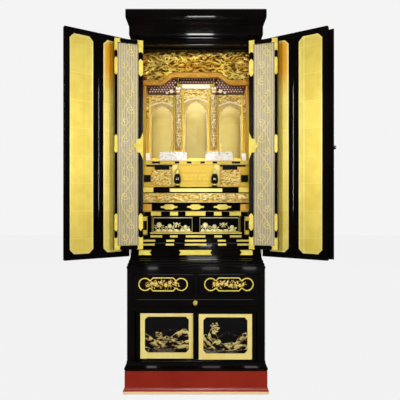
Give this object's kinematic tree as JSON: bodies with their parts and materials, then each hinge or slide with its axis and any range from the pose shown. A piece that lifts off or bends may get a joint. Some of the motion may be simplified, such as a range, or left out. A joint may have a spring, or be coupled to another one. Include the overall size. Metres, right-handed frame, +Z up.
{
  "type": "household altar cabinet",
  "caption": "Tall lacquered household altar cabinet with folding doors, folding gauze doors, a gilded stepped altar with a shrine front, drawers, a tray and a sliding-door cupboard on a plinth.",
  "frame": {"origin": "centre of the plinth's underside", "axes": "+Z up along the cabinet's height, -Y out of its front, +X to the right as seen from the front"},
  "size_m": [1.0735, 0.6226, 1.6],
  "materials": {
    "black_lacquer": "black lacquer on wood, polished to a mirror gloss",
    "red_lacquer": "red lacquer on wood, satin",
    "gold_leaf": "gold leaf over lacquered wood, burnished",
    "carved_gold": "gold leaf over carved wood, soft gloss",
    "brass": "gilt brass, satin",
    "bracket_wood": "red-brown lacquered wood with gilt block ends",
    "carved_white": "painted and gilded carving, matte",
    "gauze": "stiff metallic gauze with fine ribs, woven arabesque",
    "grey_metal": "turned grey metal, satin"
  },
  "bodies": {
    "cabinet": {"plinth": "red_lacquer", "plinth_strip": "brass", "base_moulding": "black_lacquer", "lower_case": "black_lacquer", "waist_moulding": "black_lacquer", "upper_case": "black_lacquer", "cornice": "black_lacquer", "soffit": "black_lacquer", "back_panel": "gold_leaf", "transom": "carved_gold", "transom_band": "gold_leaf", "shrine_front": "gold_leaf", "altar_platform": "gold_leaf", "altar_ledge": "black_lacquer", "altar_band": "carved_gold", "altar_waist": "black_lacquer", "altar_base": "black_lacquer", "altar_steps": "black_lacquer", "side_lining_left": "gold_leaf", "brackets_left": "bracket_wood", "carved_column_left": "carved_gold", "column_base_left": "carved_white", "newel_left": "black_lacquer", "side_lining_right": "gold_leaf", "brackets_right": "bracket_wood", "carved_column_right": "carved_gold", "column_base_right": "carved_white", "newel_right": "black_lacquer"},
    "outer_left": {"outer_door_left_inner": "black_lacquer", "gilt_panel_left_inner": "gold_leaf"},
    "outer_left_fold": {"outer_door_left_fold": "black_lacquer", "gilt_panel_left_fold": "gold_leaf"},
    "gauze_left": {"gauze_frame_left_inner": "black_lacquer", "gauze_left_inner": "gauze"},
    "gauze_left_fold": {"gauze_frame_left_fold": "black_lacquer", "gauze_left_fold": "gauze", "ornament_left": "brass"},
    "drawer_left": {"drawer_left": "black_lacquer", "drawer_plate_left": "brass"},
    "sliding_left": {"sliding_door_left": "black_lacquer", "sliding_frame_left": "gold_leaf"},
    "inner_drawer_left": {"inner_drawer_left": "black_lacquer"},
    "outer_right": {"outer_door_right_inner": "black_lacquer", "gilt_panel_right_inner": "gold_leaf"},
    "outer_right_fold": {"outer_door_right_fold": "black_lacquer", "gilt_panel_right_fold": "gold_leaf", "meeting_strip": "black_lacquer", "door_knob": "grey_metal"},
    "gauze_right": {"gauze_frame_right_inner": "black_lacquer", "gauze_right_inner": "gauze"},
    "gauze_right_fold": {"gauze_frame_right_fold": "black_lacquer", "gauze_right_fold": "gauze", "ornament_right": "brass"},
    "drawer_right": {"drawer_right": "black_lacquer", "drawer_plate_right": "brass"},
    "sliding_right": {"sliding_door_right": "black_lacquer", "sliding_frame_right": "gold_leaf"},
    "inner_drawer_right": {"inner_drawer_right": "black_lacquer"},
    "tray": {"tray": "black_lacquer", "tray_knob": "brass"}
  },
  "joints": [
    {"name": "outer_left_hinge", "type": "hinge", "parent": "cabinet", "child": "outer_left", "pos_m": [-0.2776, -0.222, 1], "axis": [0, 0, -1], "range_deg": [-146.7, 10]},
    {"name": "outer_left_fold_hinge", "type": "hinge", "parent": "outer_left", "child": "outer_left_fold", "pos_m": [-0.40398, -0.28205, 1], "axis": [0, 0, -1], "range_deg": [0, 150]},
    {"name": "gauze_left_hinge", "type": "hinge", "parent": "cabinet", "child": "gauze_left", "pos_m": [-0.2397, -0.2215, 1], "axis": [0, 0, -1], "range_deg": [-149.1, 10.3]},
    {"name": "gauze_left_fold_hinge", "type": "hinge", "parent": "gauze_left", "child": "gauze_left_fold", "pos_m": [-0.33178, -0.29736, 1], "axis": [0, 0, 1], "range_deg": [-167.6, 11.6]},
    {"name": "drawer_left_slide", "type": "slide", "parent": "cabinet", "child": "drawer_left", "axis": [0, -1, 0], "range_m": [0, 0.28]},
    {"name": "sliding_left_slide", "type": "slide", "parent": "cabinet", "child": "sliding_left", "axis": [1, 0, 0], "range_m": [0, 0.238]},
    {"name": "inner_drawer_left_slide", "type": "slide", "parent": "cabinet", "child": "inner_drawer_left", "axis": [0, -1, 0], "range_m": [0, 0.18]},
    {"name": "outer_right_hinge", "type": "hinge", "parent": "cabinet", "child": "outer_right", "pos_m": [0.2776, -0.222, 1], "axis": [0, 0, 1], "range_deg": [-146.7, 10]},
    {"name": "outer_right_fold_hinge", "type": "hinge", "parent": "outer_right", "child": "outer_right_fold", "pos_m": [0.40398, -0.28205, 1], "axis": [0, 0, 1], "range_deg": [0, 150]},
    {"name": "gauze_right_hinge", "type": "hinge", "parent": "cabinet", "child": "gauze_right", "pos_m": [0.2397, -0.2215, 1], "axis": [0, 0, 1], "range_deg": [-149.1, 10.3]},
    {"name": "gauze_right_fold_hinge", "type": "hinge", "parent": "gauze_right", "child": "gauze_right_fold", "pos_m": [0.33178, -0.29736, 1], "axis": [0, 0, -1], "range_deg": [-167.6, 11.6]},
    {"name": "drawer_right_slide", "type": "slide", "parent": "cabinet", "child": "drawer_right", "axis": [0, -1, 0], "range_m": [0, 0.28]},
    {"name": "sliding_right_slide", "type": "slide", "parent": "cabinet", "child": "sliding_right", "axis": [-1, 0, 0], "range_m": [0, 0.238]},
    {"name": "inner_drawer_right_slide", "type": "slide", "parent": "cabinet", "child": "inner_drawer_right", "axis": [0, -1, 0], "range_m": [0, 0.18]},
    {"name": "tray_slide", "type": "slide", "parent": "cabinet", "child": "tray", "axis": [0, -1, 0], "range_m": [0, 0.26]}
  ],
  "couplings": [
    {"joint": "gauze_left_hinge", "follows": "outer_left_hinge", "ratio": 1.0157},
    {"joint": "gauze_left_fold_hinge", "follows": "outer_left_hinge", "ratio": 1.1418},
    {"joint": "gauze_right_hinge", "follows": "outer_right_hinge", "ratio": 1.0157},
    {"joint": "gauze_right_fold_hinge", "follows": "outer_right_hinge", "ratio": 1.1418}
  ]
}
